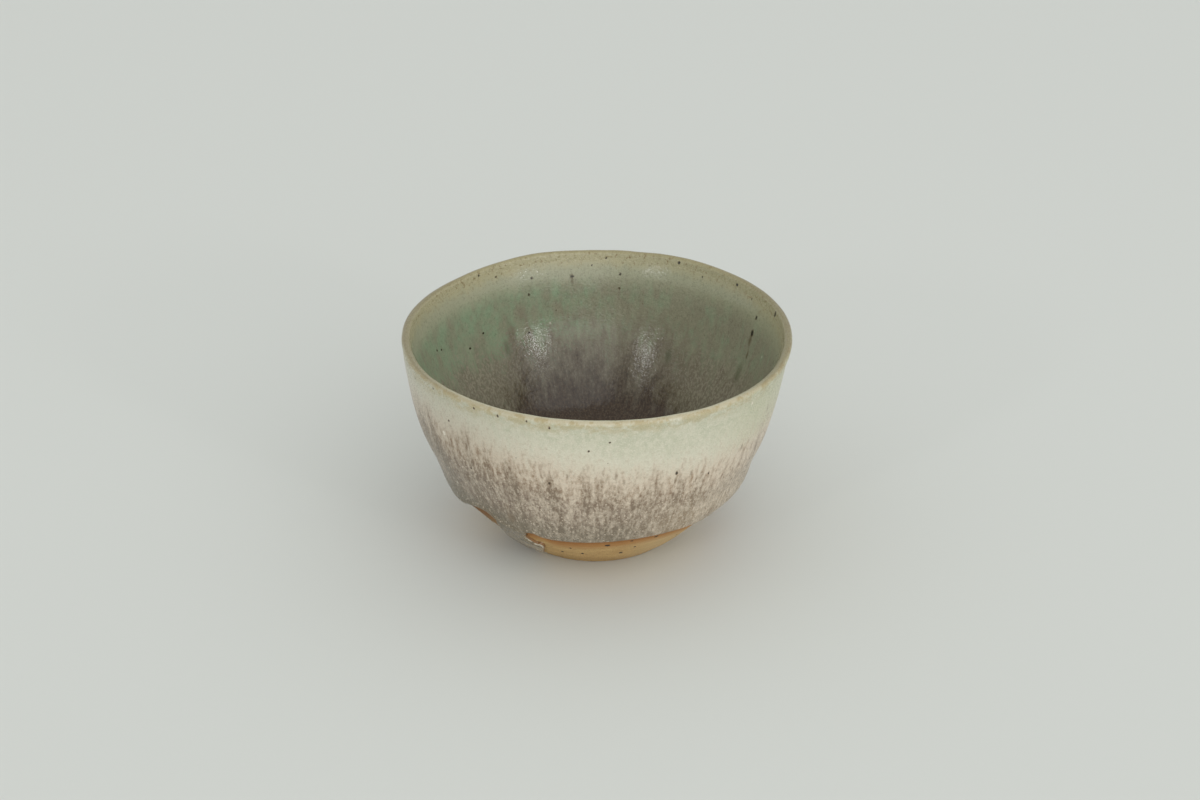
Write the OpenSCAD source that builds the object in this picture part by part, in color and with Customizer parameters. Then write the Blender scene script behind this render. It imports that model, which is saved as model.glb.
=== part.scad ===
/* [Mouth and lip] */
// Outside diameter of the clay at the lip
mouth_d = 75.8; // [70:0.1:84]
// Height of the clay from the table to the top of the lip
cup_h = 42.8; // [39:0.1:50]
// Thickness of the clay at the lip
lip_t = 1.3; // [1:0.1:2]
// Lean of the lip outwards from upright, in degrees
lip_lean = 13; // [6:1:18]

/* [Wall and hip] */
// Outside diameter of the clay at the turned hip
hip_d = 58.4; // [52:0.2:62]
// Height of the hip above the table
hip_h = 13.4; // [11:0.2:15]
// Rise of the wall just above the hip, in degrees from level
hip_rise = 63; // [56:1:70]
// Thickness of the clay wall just above the hip
wall_t = 3.8; // [3:0.1:4.6]
// Rise of the turned underside where it reaches the hip, in degrees from level
under_hip_rise = 40; // [36:1:46]

/* [Foot and floor] */
// Diameter of the foot ring at the table
foot_d = 31.2; // [28:0.2:36]
// Height of the foot ring's side
foot_h = 1.4; // [1:0.1:2.4]
// Width by which the foot ring's side leans out over its height
foot_flare = 1.7; // [1:0.1:2.2]
// Width of the face that the foot ring rests on, with its bevels
foot_face_w = 3.4; // [2.4:0.1:4.6]
// Bevel wiped along both edges of the foot ring
foot_bevel = 0.4; // [0.2:0.1:0.7]
// Rise of the turned underside where it leaves the foot ring, in degrees from level
under_foot_rise = 29; // [24:1:38]
// Depth of the hollow turned inside the foot ring
well_depth = 2.5; // [1.6:0.1:3.4]
// Radius left by the turning tool round the edge of the hollow
well_fillet = 1.4; // [0.8:0.1:1.8]
// Height of the low swell left at the middle of the hollow
well_swell = 0.5; // [0.2:0.1:0.8]
// Thickness of the clay floor over the edge of the hollow
floor_t = 4.6; // [3.8:0.1:5.4]

/* [Glaze coats] */
// Thickness of the glaze inside the bowl
inner_glaze_t = 0.4; // [0.25:0.05:0.6]
// Extra thickness of the glaze pooled on the floor of the bowl
pool_t = 0.5; // [0.2:0.1:1]
// Thickness of the glaze on the outside of the wall
outer_glaze_t = 0.45; // [0.3:0.05:0.6]
// Thickness of the thin glaze over the lip
rim_glaze_t = 0.16; // [0.1:0.02:0.24]
// Depth below the lip that the thin glaze covers
rim_band_w = 1.3; // [0.8:0.1:2]
// Thickness of the rolled lower edge of the outside glaze
bead_t = 0.62; // [0.5:0.02:0.9]
// Width of the rolled lower edge, along the slope
bead_w = 1.4; // [1:0.1:1.5]

/* [Glaze run] */
// Place of the middle of the run, in degrees from the front, minus to the left
run_azimuth = -42; // [-50:0.5:-38]
// Width of the run, in degrees round the cup
run_span = 24; // [21:3:33]
// Thickness of the run
run_t = 0.6; // [0.45:0.05:0.8]
// Length of the run down the underside, from the glaze line to its tip
run_len = 11.4; // [9:0.2:12.4]

/* [Hidden] */
$fn = 96;

// Colours of the fired clay and of the glaze on each side
clay_colour = [0.66, 0.49, 0.30];
inner_colour = [0.48, 0.50, 0.43];
rim_colour = [0.62, 0.56, 0.42];
outer_colour = [0.66, 0.62, 0.56];
run_colour = [0.47, 0.45, 0.40];

// Number of straight steps along each curve of the section
wall_steps = 8;
under_steps = 10;
bowl_steps = 12;
lip_steps = 6;
fillet_steps = 5;
// Number of columns of the glaze round the cup, and its rows between the hip and the rolled edge
columns = 120;
coat_rows = 2;
// Space that keeps the faceted glaze clear of the round clay
glaze_seat = 0.03;
// Shortest step used to find the direction of a curve
tiny_share = 0.001;

// Lengths of the handles that pull each curve, as shares of the height or length that they span
hip_pull_share = 0.51;
lip_pull_share = 0.31;
foot_pull_share = 0.20;
under_pull_share = 0.20;
bowl_pull_share = 0.85;
floor_pull_share = 0.55;
// How quickly the clay wall thins from the hip to the lip
thinning_power = 1.5;

// Height of the glaze line round the cup: degrees from the front, plus to the right,
// and the share of the way up the underside from the foot ring to the hip
line_shares = [
    [-180, 0.72], [-150, 0.64], [-122, 0.72], [-96, 0.84], [-72, 0.89], [-57, 0.90], [-45, 0.89],
    [-31.5, 0.87], [-21.8, 0.88], [-9, 0.84], [9.5, 0.89], [20, 0.905], [31, 0.895], [41, 0.85],
    [53, 0.74], [70, 0.60], [96, 0.64], [124, 0.70], [152, 0.65], [180, 0.72]
];
// Section of the rolled edge: share of its width from the line, and share of its thickness
bead_shares = [[0.03, 0.34], [0.14, 0.68], [0.38, 0.94], [0.66, 1]];

mouth_r = mouth_d / 2;
hip_r = hip_d / 2;
foot_r = foot_d / 2;
well_r = foot_r - foot_face_w;
floor_h = well_depth + floor_t;
lip_end = [mouth_r, cup_h - lip_t / 2 * (1 + sin(lip_lean))];
hip_point = [hip_r, hip_h];
foot_corner = [foot_r + foot_flare, foot_h];
wall_rise = lip_end[1] - hip_h;
under_len = norm(hip_point - foot_corner);
wall_curve = [
    hip_point,
    hip_point + wall_rise * hip_pull_share * [cos(hip_rise), sin(hip_rise)],
    lip_end - wall_rise * lip_pull_share * [sin(lip_lean), cos(lip_lean)],
    lip_end
];
under_curve = [
    foot_corner,
    foot_corner + under_len * foot_pull_share * [cos(under_foot_rise), sin(under_foot_rise)],
    hip_point - under_len * under_pull_share * [cos(under_hip_rise), sin(under_hip_rise)],
    hip_point
];
// Share of the wall curve at which the thin glaze of the lip begins
rim_share = 1 - rim_band_w / (3 * wall_rise * lip_pull_share);
inner_start = inner_point(0);
inner_rise = inner_start[1] - floor_h;
bowl_curve = [
    inner_start,
    inner_start - inner_rise * bowl_pull_share * unit(inner_point(tiny_share) - inner_start),
    [inner_start[0] * floor_pull_share, floor_h],
    [0, floor_h]
];

// Point on a curve pulled by two handles, its direction there, and the side to the right of it
function bezier(p, t) =
    pow(1 - t, 3) * p[0] + 3 * t * pow(1 - t, 2) * p[1] + 3 * t * t * (1 - t) * p[2] + pow(t, 3) * p[3];
function bezier_way(p, t) =
    unit(pow(1 - t, 2) * (p[1] - p[0]) + 2 * t * (1 - t) * (p[2] - p[1]) + t * t * (p[3] - p[2]));
function unit(v) = v / norm(v);
function right_of(v) = [v[1], -v[0]];
function steps(n) = [for (i = [0 : n]) i / n];
function reversed(list) = [for (i = [len(list) - 1 : -1 : 0]) list[i]];
function circle_point(centre, radius, angle) = centre + radius * [cos(angle), sin(angle)];

// Stations up the wall, from the hip to the thin glaze of the lip
wall_stations = rim_share * steps(wall_steps);

// Outside of the wall and its outward direction, with s from 0 at the hip to 1 at the lip
function wall_point(s) = bezier(wall_curve, s);
function wall_out(s) = right_of(bezier_way(wall_curve, s));
// Inside of the wall at the same station
function clay_t(s) = lip_t + (wall_t - lip_t) * pow(1 - s, thinning_power);
function inner_point(s) = wall_point(s) - wall_out(s) * clay_t(s);
// Turned underside and its outward direction, with t from 0 at the foot ring to 1 at the hip
function under_point(t) = bezier(under_curve, t);
function under_out(t) = right_of(bezier_way(under_curve, t));
hip_out = unit(under_out(1) + wall_out(0));

// Lip turned over in a half round, seen in section, grown by the thickness of a coat
lip_centre = lip_end - wall_out(1) * lip_t / 2;
function lip_arc(grow) =
    [for (f = steps(lip_steps)) circle_point(lip_centre, lip_t / 2 + grow, -lip_lean + 180 * f)];

// Section of the hollow inside the foot ring, from the middle out to the table
function well_section() = concat(
    [for (f = steps(fillet_steps)) [(well_r - well_fillet) * f, well_depth + well_swell * (1 - f * f)]],
    [for (f = steps(fillet_steps))
        if (f > 0) circle_point([well_r - well_fillet, well_depth - well_fillet], well_fillet, 90 * (1 - f))],
    [[well_r, foot_bevel], [well_r + foot_bevel, 0]]
);
// Section of the foot ring and the turned underside, from the table up to the hip
function under_section() = concat(
    [[foot_r - foot_bevel, 0], [foot_r + foot_flare * foot_bevel / foot_h, foot_bevel]],
    [for (t = steps(under_steps)) under_point(t)]
);
// Sections of the inside of the clay, from the lip band down the wall, and on to the middle of the floor
function inner_section() = [for (s = reversed(wall_stations)) inner_point(s)];
function bowl_section() = [for (u = steps(bowl_steps)) if (u > 0) bezier(bowl_curve, u)];

// Bowl thrown and turned from one piece of clay, with its foot ring
module clay_body() {
    color(clay_colour)
        rotate_extrude()
            polygon(concat(
                well_section(),
                under_section(),
                [for (s = wall_stations) if (s > 0) wall_point(s)],
                lip_arc(0),
                inner_section(),
                bowl_section()
            ));
}

// Thickness of the glaze on the wall, which grows from the thin lip band downwards
function coat_t(s, full_t) = full_t - (full_t - rim_glaze_t) * pow(s / rim_share, 3);

// Glaze poured inside: thin below the lip, even on the wall and pooled on the floor
module inner_glaze() {
    free_wall = [for (s = wall_stations) inner_point(s) - wall_out(s) * coat_t(s, inner_glaze_t)];
    free_floor = [for (u = steps(bowl_steps))
        if (u > 0) bezier(bowl_curve, u) + right_of(bezier_way(bowl_curve, u)) * (inner_glaze_t + pool_t * u * u)];
    color(inner_colour)
        rotate_extrude()
            polygon(concat(inner_section(), bowl_section(), reversed(free_floor), free_wall));
}

// Thin glaze drawn over the lip, where the clay's warmth shows through
module rim_glaze() {
    outer_edge = wall_point(rim_share);
    inner_edge = inner_point(rim_share);
    edge_out = wall_out(rim_share);
    color(rim_colour)
        rotate_extrude()
            polygon(concat(
                [outer_edge],
                lip_arc(0),
                [inner_edge, inner_edge - edge_out * rim_glaze_t],
                reversed(lip_arc(rim_glaze_t)),
                [outer_edge + edge_out * rim_glaze_t]
            ));
}

// Smooth curve through a table of places: slope at each place, then the value between two of them
function table_slope(table, i) =
    let (last = len(table) - 1, a = i == 0 ? last - 1 : i - 1, b = i == last ? 1 : i + 1)
    let (turn = (i == 0 || i == last) ? 360 : 0)
    (table[b][1] - table[a][1]) / (table[b][0] - table[a][0] + turn);
function table_value(table, x) =
    let (i = max([for (k = [0 : len(table) - 2]) if (table[k][0] <= x) k]))
    let (gap = table[i + 1][0] - table[i][0], f = (x - table[i][0]) / gap)
    let (level = (2 * f - 3) * f * f)
    table[i][1] * (1 + level) - table[i + 1][1] * level
        + gap * f * (1 - f) * (table_slope(table, i) * (1 - f) - table_slope(table, i + 1) * f);

// Place of the glaze line on the underside at each column round the cup
column_step = 360 / columns;
function azimuth(c) = c * column_step - 180;
function line_at(c) = table_value(line_shares, azimuth(c));
bead_step = bead_w / under_len;

// Point of the section at one column, set out round the cup, with the front towards -Y
function placed(p, c) = [p[0] * sin(azimuth(c)), -p[0] * cos(azimuth(c)), p[1]];
// Glaze facets lie outside the round clay, so points on the clay move out to the corners of the facets
function on_clay(p, out) = [(p[0] + out[0] * glaze_seat) / cos(column_step / 2), p[1] + out[1] * glaze_seat];

// Rows of the coat below the hip: even steps down to the rolled edge
function coat_row_places(line) = [for (k = [1 : coat_rows]) 1 - k / (coat_rows + 1) * (1 - line - bead_step)];
// Rolled edge in section, from its root on the slope to its end on the clay
function bead_section(line) = [for (b = reversed(bead_shares))
    under_point(line + bead_step * b[0]) + under_out(line + bead_step * b[0]) * bead_t * b[1]];
function bead_end(line) = on_clay(under_point(line), under_out(line));

// Closed section of the outside coat at one column: down the clay, round the rolled edge and up again
function coat_loop(c) = let (line = line_at(c), rows = coat_row_places(line), root = line + bead_step) concat(
    [for (s = reversed(wall_stations)) if (s > 0) on_clay(wall_point(s), wall_out(s))],
    [on_clay(hip_point, hip_out)],
    [for (t = concat(rows, [root])) on_clay(under_point(t), under_out(t))],
    [bead_end(line)],
    reversed(bead_section(line)),
    [for (t = concat([root], reversed(rows))) under_point(t) + under_out(t) * outer_glaze_t],
    [hip_point + hip_out * outer_glaze_t],
    [for (s = wall_stations) if (s > 0) wall_point(s) + wall_out(s) * coat_t(s, outer_glaze_t)]
);

// Triangles between two neighbouring sections of n points each
function band_faces(a, b, n) = [for (i = [0 : n - 1]) let (j = (i + 1) % n)
    each [[a * n + i, b * n + i, b * n + j], [a * n + i, b * n + j, a * n + j]]];

// Outside coat, dipped to an uneven line and rolled up along its lower edge as it ran
module outer_glaze() {
    loops = [for (c = [0 : columns - 1]) coat_loop(c)];
    n = len(loops[0]);
    color(outer_colour)
        polyhedron(
            points = [for (c = [0 : columns - 1]) for (p = loops[c]) placed(p, c)],
            faces = [for (c = [0 : columns - 1]) each band_faces(c, (c + 1) % columns, n)]
        );
}

// Columns covered by the run, and each one's place across it from -1 at the left to 1 at the right
run_first = round((run_azimuth - run_span / 2 + 180) / column_step);
run_last = run_first + round(run_span / column_step);
function across(c) = 2 * (c - run_first) / (run_last - run_first) - 1;
// The tip is blunt, and the run is thicker and rolled along its right side
run_side_share = 0.72;
run_roll_share = 0.3;
run_rows = 5;
// Section of the tip: share of the run's length from its end, and share of its thickness
tip_shares = [[0.01, 0.4], [0.05, 0.75], [0.12, 1]];
function run_length(c) = run_len * (1 - run_side_share * pow(across(c), 4)) / under_len;
function run_thickness(c) = run_t * (1 + run_roll_share * across(c)) * (1 - run_side_share * pow(across(c), 6));
function run_out(t, thickness) = under_point(t) + under_out(t) * thickness;

// Closed section of the run at one column, from the rolled edge down to the tip and up again
function run_loop(c) = let (line = line_at(c), long = run_length(c), thick = run_thickness(c)) concat(
    bead_section(line),
    [for (k = [0 : run_rows]) let (t = line - long * k / run_rows) on_clay(under_point(t), under_out(t))],
    [for (p = tip_shares) run_out(line - long * (1 - p[0]), thick * p[1])],
    [for (k = [1 : run_rows - 1]) let (f = 1 - k / run_rows)
        run_out(line - long * f, thick * f + bead_t * (1 - f))]
);

// Run of thick glaze that left the line at the front left and stopped short of the foot ring
module glaze_run() {
    cols = [for (c = [run_first : run_last]) c];
    loops = [for (c = cols) run_loop(c)];
    n = len(loops[0]);
    last = len(cols) - 1;
    color(run_colour)
        polyhedron(
            points = [for (k = [0 : last]) for (p = loops[k]) placed(p, cols[k])],
            faces = concat(
                [for (k = [0 : last - 1]) each band_faces(k, k + 1, n)],
                [[for (i = [0 : n - 1]) i]],
                [[for (i = [n - 1 : -1 : 0]) last * n + i]]
            )
        );
}

clay_body();
inner_glaze();
rim_glaze();
outer_glaze();
glaze_run();
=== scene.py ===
import math

import bpy
import numpy as np
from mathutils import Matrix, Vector


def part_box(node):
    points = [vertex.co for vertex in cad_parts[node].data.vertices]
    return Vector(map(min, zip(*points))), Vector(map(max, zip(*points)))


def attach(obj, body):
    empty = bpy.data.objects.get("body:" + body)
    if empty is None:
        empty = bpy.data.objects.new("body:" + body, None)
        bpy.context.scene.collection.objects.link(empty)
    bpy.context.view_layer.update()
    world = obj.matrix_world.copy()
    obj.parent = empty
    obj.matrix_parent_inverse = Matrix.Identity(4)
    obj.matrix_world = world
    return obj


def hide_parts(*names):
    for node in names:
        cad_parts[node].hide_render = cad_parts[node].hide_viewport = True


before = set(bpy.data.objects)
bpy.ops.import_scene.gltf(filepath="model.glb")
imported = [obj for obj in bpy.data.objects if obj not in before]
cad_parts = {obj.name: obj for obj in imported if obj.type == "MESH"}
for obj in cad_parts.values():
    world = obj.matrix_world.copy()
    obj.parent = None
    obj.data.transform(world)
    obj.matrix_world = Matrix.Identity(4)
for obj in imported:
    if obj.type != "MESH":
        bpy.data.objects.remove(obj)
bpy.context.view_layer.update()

SCENE = bpy.context.scene
MM = 0.001

# Main sizes of the clay in millimetres, read from the frame
CLAY_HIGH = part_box("clay_body")[1] / MM
MOUTH_R = CLAY_HIGH.x
CUP_H = CLAY_HIGH.z

# The other sizes of the section, in millimetres and degrees
LIP_T = 1.3
LIP_LEAN = 13.0
HIP_R = 29.2
HIP_H = 13.4
HIP_RISE = 63.0
WALL_T = 3.8
UNDER_HIP_RISE = 40.0
FOOT_R = 15.6
FOOT_H = 1.4
FOOT_FLARE = 1.7
FOOT_FACE_W = 3.4
FOOT_BEVEL = 0.4
UNDER_FOOT_RISE = 29.0
WELL_DEPTH = 2.5
WELL_FILLET = 1.4
WELL_SWELL = 0.5
FLOOR_T = 4.6
INNER_GLAZE_T = 0.4
POOL_T = 0.5
OUTER_GLAZE_T = 0.45
RIM_GLAZE_T = 0.16
RIM_BAND_W = 1.3
BEAD_T = 0.62
BEAD_W = 1.4
BEAD_ROUND_SHARE = 0.9
BEAD_FULL_SHARE = 0.55

# Lengths of the handles that pull each curve of the section, as shares of what they span
HIP_PULL_SHARE = 0.51
LIP_PULL_SHARE = 0.31
FOOT_PULL_SHARE = 0.20
UNDER_PULL_SHARE = 0.20
BOWL_PULL_SHARE = 0.85
FLOOR_PULL_SHARE = 0.55
THINNING_POWER = 1.5

# Glaze line round the cup: degrees from the front, plus to the right, and share of the way
# up the underside from the foot ring to the hip
LINE_SHARES = [
    (-180, 0.72), (-150, 0.64), (-122, 0.72), (-96, 0.86), (-78, 0.9), (-66, 0.95), (-58, 1.02),
    (-52, 1.09), (-46, 1.14), (-42, 1.12), (-38.5, 1.03), (-33, 0.96), (-28, 0.94), (-23.5, 0.98),
    (-20, 0.86), (-15, 0.83), (-8, 0.84), (9.5, 0.9), (20, 0.925), (31, 0.92), (41, 0.86),
    (53, 0.75), (70, 0.6), (96, 0.64), (124, 0.7), (152, 0.65), (180, 0.72),
]
# Outline of the run of thick glaze, in the same two measures
RUN_SHARES = [
    (-36, 1.12), (-32, 1.08), (-29, 1.02), (-27.8, 0.92), (-28.4, 0.82), (-29.8, 0.73),
    (-29.6, 0.66), (-28.6, 0.6), (-27.4, 0.56), (-25.6, 0.57), (-24.5, 0.53), (-25.4, 0.45),
    (-28, 0.33), (-31, 0.2), (-35, 0.13), (-41, 0.12), (-48, 0.16), (-53, 0.22), (-54.5, 0.3),
    (-51.4, 0.41), (-47.8, 0.52), (-45, 0.632), (-43.4, 0.763), (-42, 0.88), (-40.6, 0.98),
    (-39.5, 1.09),
]
RUN_MIDDLE = (-38, 0.35)
# Thickness of the run, and how it rolls up, thins, waves and fades
RUN_T = 0.6
RUN_ROLL_SHARE = 0.45
RUN_ROLL_TURN = (-42, -31)
RUN_ROLL_IN = (0.9, 0.9)
RUN_TIP_SHARE = 0.45
RUN_TIP_TURN = (-44, -38)
RUN_TIP_SPAN_SHARES = (0.42, 0.2)
RUN_EDGE_W = 0.7
RUN_WAVE_T = 0.06
RUN_WAVE_LEN = 2.2
RUN_FADE_SPAN = (1.9, 0.2)
RUN_BLEND_T = 0.2
RUN_PROUD = 0.008

# Height by which the lip rises and falls, by degrees from the front
LIP_LIFT = [
    (-180, 0.08), (-162, 0.3), (-147, 0.08), (-131, -0.25), (-115, 0), (-100, 0.28), (-80, 0.12),
    (-60, 0), (-45, 0.2), (-20, 0.2), (0, 0.16), (20, -0.08), (45, -0.42), (62, -0.5), (78, -0.18),
    (95, 0.26), (115, 0.3), (135, 0.27), (150, 0.38), (165, 0.2), (180, 0.08),
]

# Swells of the thrown wall: size, degrees from the front and spread, height and spread
WALL_SWELLS = [(-0.28, -88, 48, 20.5, 2.6), (-0.34, 88, 50, 19.3, 2.8), (0.42, -62, 32, 9.0, 5.5)]
# Rolls of the glaze over the hip, in the same measures
HIP_ROLLS = [(0.30, -88, 46, 14.3, 2.0), (0.28, 88, 50, 14.4, 2.0)]

# How far lip and belly stand off the axis, the lip from one height up, the belly round a height
LIP_ASIDE = 0.29
LIP_ASIDE_SPAN = (38, 43)
BELLY_ASIDE = 0.24
BELLY_SPAN = (28, 9)

# Ripple of the lip, and the heights over which lift and ripple set in
LIP_LIFT_SPAN = (22, 42)
LIP_RIPPLE = 0.08
LIP_RIPPLE_LEN = 4.5
LIP_RIPPLE_SPAN = (36, 42)

# Shoulder of glaze inside the lip, on the side where the cosine of the azimuth is low
SHOULDER_T = 0.30
SHOULDER_TOP_SPAN = (41.6, 37.4)
SHOULDER_LOW_SPAN = (28, 36.8)
SHOULDER_SIDE_COSINES = (0.1, -0.7)

# Waves of the glaze, broad and fine, and the share by which heights are squeezed for them
WAVE_T = 0.05
WAVE_LEN = 7.0
RIPPLE_T = 0.035
RIPPLE_LEN = 1.5
WAVE_SQUEEZE_SHARE = 0.55

# Turning lines and grain of the bare clay
TURNING_LINE = 0.020
TURNING_BAND = 0.03
TURNING_PITCH = 0.55
TURNING_DRIFT = 1.2
TURNING_BAND_SHARE = 0.3
CLAY_GRAIN = 0.014
CLAY_GRAIN_LEN = 0.6
FOOT_SMOOTH_SPAN = (0.05, 0.3)

# Radius at which marks on the underside are measured
UNDERSIDE_R = 20.0

# Radii past which the glaze's pattern changes only round the cup and downwards
OUTSIDE_FLOW_R = 29.0
INSIDE_FLOW_R = 24.0

# Height where the outside's mauve begins, its swing round the cup, and cosine and sine of the swing
ONSET_H = 31.7
ONSET_SWING = 3.1
ONSET_COS = 0.407
ONSET_SIN = 0.914

# Stands for a distance too far to matter
FAR = 99.0

# Columns and rows of the meshes
GLAZE_COLUMNS = 640
CLAY_COLUMNS = 480
RUN_COLUMNS = 300
RUN_ROWS = 46
FLOOR_ROWS = 54
WALL_ROWS = 72
THIN_ROWS = 7
ARC_ROWS = 19
EVEN_ROWS = 62
LOW_ROWS = 43
BEAD_ROWS = 15
FLOOR_HOLE_SHARE = 0.985
EVEN_ABOVE_HIP = 6.0

# Camera of the photo, in metres and millimetres of lens
CAMERA_PLACE = (0.00085, -0.4859, 0.2853)
CAMERA_AIM = (0.00085, 0.0, 0.02772)
CAMERA_LENS = 83.46

# Lamps: name, way to it, width in metres, power in watts
LAMPS = [
    ("window", (0.34, -0.82, 0.46), 4.0, 36.0),
    ("glint_right", (0.651, -0.695, 0.330), 0.34, 4.6),
    ("glint_left", (-0.583, -0.720, 0.390), 0.32, 3.7),
]
LAMP_AWAY = 3.0
SKY_COLOUR = (0.98, 1.0, 0.995, 1)
SKY_STRENGTH = 0.80
# Half the width of the floor in metres
FLOOR_HALF = 6.0


# Curves of the section

def heading(degrees):
    return np.array([math.cos(math.radians(degrees)), math.sin(math.radians(degrees))])


def unit(v):
    return v / np.maximum(np.linalg.norm(v, axis=-1, keepdims=True), 1e-9)


def right_of(v):
    return np.stack([v[..., 1], -v[..., 0]], -1)


def bezier(curve, t):
    t = np.asarray(t, float)[..., None]
    a, b, c, d = curve
    return (1 - t) ** 3 * a + 3 * t * (1 - t) ** 2 * b + 3 * t * t * (1 - t) * c + t ** 3 * d


def bezier_way(curve, t):
    t = np.asarray(t, float)[..., None]
    a, b, c, d = curve
    return unit((1 - t) ** 2 * (b - a) + 2 * t * (1 - t) * (c - b) + t * t * (d - c))


def smooth(low, high, x):
    f = np.clip((x - low) / (high - low), 0, 1)
    return f * f * (3 - 2 * f)


def swell(x, middle, width):
    return np.exp(-((x - middle) / width) ** 2)


def swells(table, azimuth, height):
    """What the swells of a table add up to at an azimuth and a height."""
    return sum(size * swell(azimuth, middle, spread) * swell(height, level, rise)
               for size, middle, spread, level, rise in table)


def lengths(points):
    """Length along a line of points at each of them."""
    return np.concatenate([[0], np.cumsum(np.linalg.norm(np.diff(points, axis=0), axis=1))])


LIP_END = np.array([MOUTH_R, CUP_H - LIP_T / 2 * (1 + math.sin(math.radians(LIP_LEAN)))])
HIP = np.array([HIP_R, HIP_H])
FOOT = np.array([FOOT_R + FOOT_FLARE, FOOT_H])
WALL_RISE = LIP_END[1] - HIP_H
UNDER_LEN = float(np.linalg.norm(HIP - FOOT))
WALL = [
    HIP,
    HIP + WALL_RISE * HIP_PULL_SHARE * heading(HIP_RISE),
    LIP_END - WALL_RISE * LIP_PULL_SHARE * heading(90 - LIP_LEAN),
    LIP_END,
]
UNDER = [
    FOOT,
    FOOT + UNDER_LEN * FOOT_PULL_SHARE * heading(UNDER_FOOT_RISE),
    HIP - UNDER_LEN * UNDER_PULL_SHARE * heading(UNDER_HIP_RISE),
    HIP,
]
RIM_SHARE = 1 - RIM_BAND_W / (3 * WALL_RISE * LIP_PULL_SHARE)
FLOOR_H = WELL_DEPTH + FLOOR_T


def wall_out(s):
    return right_of(bezier_way(WALL, s))


def clay_t(s):
    return LIP_T + (WALL_T - LIP_T) * (1 - s) ** THINNING_POWER


def wall_coat_t(s, full):
    """Thickness of a coat on the wall, which is full low down and thins to the lip band."""
    return full - (full - RIM_GLAZE_T) * np.clip(s / RIM_SHARE, 0, 1) ** 3


def inner_point(s):
    s = np.asarray(s, float)
    return bezier(WALL, s) - wall_out(s) * clay_t(s)[..., None]


def bowl_curve():
    start = inner_point(0.0)
    pull = (start[1] - FLOOR_H) * BOWL_PULL_SHARE
    return [
        start,
        start - pull * unit(inner_point(0.001) - start),
        np.array([start[0] * FLOOR_PULL_SHARE, FLOOR_H]),
        np.array([0.0, FLOOR_H]),
    ]


BOWL = bowl_curve()


def row_at(at, known, rows):
    """Rows of two values at some lengths, from rows known at others."""
    return np.stack([np.interp(at, known, rows[:, k]) for k in (0, 1)], -1)


class OutsidePath:
    """Outside of the clay from the lip down to the foot ring, found by the length along it.
    The turned corner at the hip is softened as a sponge leaves it."""

    STEP = 0.05
    SOFTENING = 0.8

    def __init__(self):
        wall = bezier(WALL, np.linspace(1, 0, 900))
        under = bezier(UNDER, np.linspace(1, 0, 500))
        line = np.concatenate([wall, under[1:]])
        raw = lengths(line)
        self.at = np.arange(0, raw[-1], self.STEP)
        self.hip_at = lengths(wall)[-1]
        self.wall_share = np.interp(self.at, lengths(wall), np.linspace(1, 0, 900))
        self.under_at = self.hip_at + lengths(under)
        even = row_at(self.at, raw, line)
        reach = int(3 * self.SOFTENING / self.STEP)
        kernel = np.exp(-(np.arange(-reach, reach + 1) * self.STEP / self.SOFTENING) ** 2)
        kernel /= kernel.sum()
        start = 2 * even[0] - even[reach:0:-1]
        end = 2 * even[-1] - even[-2:-reach - 2:-1]
        padded = np.concatenate([start, even, end])
        self.points = np.stack([np.convolve(padded[:, k], kernel, "valid") for k in (0, 1)], -1)
        self.outs = -right_of(unit(np.gradient(self.points, axis=0)))

    def point(self, at):
        return row_at(at, self.at, self.points)

    def out(self, at):
        return unit(row_at(at, self.at, self.outs))

    def at_share(self, t):
        """Length down to a share of the underside, where shares over 1 lie above the hip."""
        t = np.asarray(t, float)
        below = np.interp(-t, -np.linspace(1, 0, 500), self.under_at)
        return np.where(t > 1, self.hip_at - (t - 1) * UNDER_LEN, below)

    def coat_t(self, at):
        """Thickness of the glaze, which grows from the thin lip band downwards."""
        return wall_coat_t(np.interp(at, self.at, self.wall_share), OUTER_GLAZE_T)


PATH = OutsidePath()


def table_value(table, x):
    """Smooth closed curve through a table whose first and last rows are one turn apart."""
    a = np.array(table, float)
    rise = np.roll(a[:-1, 1], -1) - np.roll(a[:-1, 1], 1)
    run = (np.roll(a[:-1, 0], -1) - np.roll(a[:-1, 0], 1)) % 360
    slope = np.append(rise / run, rise[0] / run[0])
    i = np.clip(np.searchsorted(a[:, 0], x, side="right") - 1, 0, len(a) - 2)
    gap = a[i + 1, 0] - a[i, 0]
    f = (x - a[i, 0]) / gap
    level = (2 * f - 3) * f * f
    pull = slope[i] * (1 - f) - slope[i + 1] * f
    return a[i, 1] * (1 + level) - a[i + 1, 1] * level + gap * f * (1 - f) * pull


def closed_curve(points, count):
    """Places on a smooth closed curve through given points."""
    p = np.array(points, float)
    at = np.linspace(0, len(p), count, endpoint=False)
    i = at.astype(int)
    f = (at - i)[:, None]
    a, b, c, d = (p[(i + k) % len(p)] for k in (-1, 0, 1, 2))
    square = (2 * a - 5 * b + 4 * c - d) * f ** 2
    cube = (3 * b - a - 3 * c + d) * f ** 3
    return 0.5 * (2 * b + (c - a) * f + square + cube)


# Seeded noise for the shapes

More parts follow.
